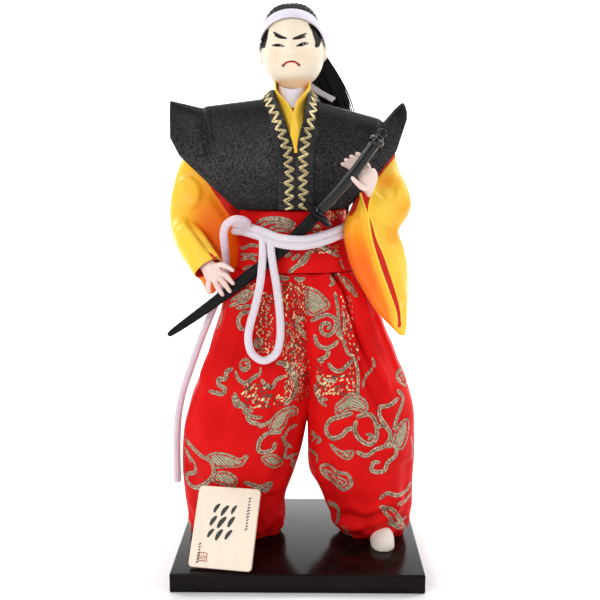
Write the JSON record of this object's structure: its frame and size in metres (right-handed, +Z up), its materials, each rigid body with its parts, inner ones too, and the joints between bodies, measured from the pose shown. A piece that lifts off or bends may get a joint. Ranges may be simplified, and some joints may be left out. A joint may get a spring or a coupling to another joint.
{
  "type": "samurai doll",
  "caption": "Standing samurai doll in a winged vest, satin robe and brocade trousers, with sheathed sword, rope belt and small tablet on a lacquered plinth.",
  "frame": {"origin": "centre of the plinth's underside, on the surface it stands on", "axes": "+Z up, front of the doll towards -Y, +X to the viewer's right when facing the doll"},
  "size_m": [0.1342, 0.105, 0.2972],
  "materials": {
    "lacquer": "black gloss lacquer",
    "red_brocade": "satin weave with metallic thread motifs",
    "black_satin": "satin",
    "yellow_satin": "glossy satin",
    "gold_trim": "ribbed ribbon with gold braid",
    "white_cloth": "plain weave",
    "rope": "soft twisted cord",
    "skin": "painted, satin",
    "hair": "combed silky fibre",
    "black_gloss": "gloss",
    "tablet_wood": "pale, painted strokes"
  },
  "bodies": {
    "root": {"plinth": "lacquer", "waistband": "red_brocade", "head": "skin", "hair": "hair", "headband": "white_cloth", "ponytail": "hair", "headband_tail_left": "white_cloth", "headband_tail_right": "white_cloth", "robe_body": "yellow_satin", "robe_collar": "yellow_satin", "under_collar": "white_cloth", "vest": "black_satin", "vest_border_right": "gold_trim", "vest_border_left": "gold_trim", "sleeve_right": "yellow_satin", "sleeve_left": "yellow_satin", "hand_right": "skin", "hand_left": "skin", "sword_sheath": "black_gloss", "sword_hilt": "black_gloss", "rope_belt": "rope", "rope_loop": "rope", "rope_end": "rope", "trousers": "red_brocade", "foot_right": "white_cloth", "foot_left": "white_cloth", "name_tablet": "tablet_wood"}
  },
  "joints": []
}
